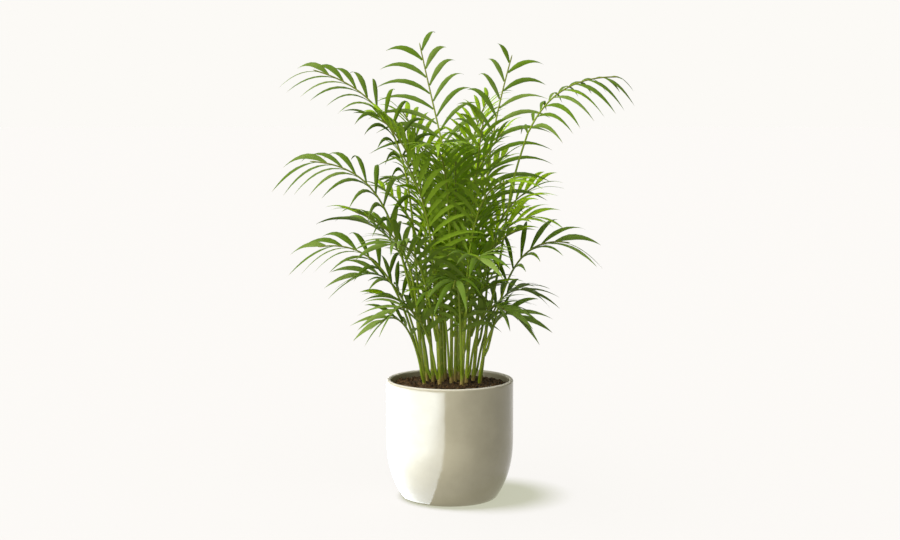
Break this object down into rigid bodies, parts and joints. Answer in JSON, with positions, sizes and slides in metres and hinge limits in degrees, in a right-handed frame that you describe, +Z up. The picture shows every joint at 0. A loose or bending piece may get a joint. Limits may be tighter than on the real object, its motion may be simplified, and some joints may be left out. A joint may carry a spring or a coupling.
{
  "type": "potted palm",
  "caption": "Clump-forming feather palm with fine arching fronds on thin green canes, planted in a straight-sided glazed pot with a rounded foot.",
  "frame": {"origin": "centre of the pot's flat underside, on the plane that it stands on", "axes": "+Z up through the pot and the clump; -Y is the front, and +X is to its right"},
  "size_m": [0.4118, 0.3735, 0.5516],
  "materials": {
    "glaze": "satin",
    "soil": "matte",
    "cane": "satin",
    "frond": "satin"
  },
  "bodies": {
    "root": {"pot": "glaze", "soil": "soil", "cane_01": "cane", "cane_02": "cane", "cane_03": "cane", "cane_04": "cane", "cane_05": "cane", "cane_06": "cane", "cane_07": "cane", "cane_08": "cane", "cane_09": "cane", "cane_10": "cane", "cane_11": "cane", "cane_12": "cane", "cane_13": "cane", "cane_14": "cane", "frond_01": "frond", "frond_02": "frond", "frond_03": "frond", "frond_04": "frond", "frond_05": "frond", "frond_06": "frond", "frond_07": "frond", "frond_08": "frond", "frond_09": "frond", "frond_10": "frond", "frond_11": "frond", "frond_12": "frond", "frond_13": "frond", "frond_14": "frond", "frond_15": "frond", "frond_16": "frond", "frond_17": "frond", "frond_18": "frond", "frond_19": "frond", "frond_20": "frond", "frond_21": "frond", "frond_22": "frond", "frond_23": "frond", "frond_24": "frond", "frond_25": "frond", "frond_26": "frond", "frond_27": "frond", "frond_28": "frond", "frond_29": "frond", "frond_30": "frond", "frond_31": "frond", "frond_32": "frond", "frond_33": "frond", "frond_34": "frond", "frond_35": "frond", "frond_36": "frond", "frond_37": "frond", "frond_38": "frond", "frond_39": "frond", "frond_40": "frond", "frond_41": "frond", "frond_42": "frond", "frond_43": "frond", "frond_44": "frond"}
  },
  "joints": []
}
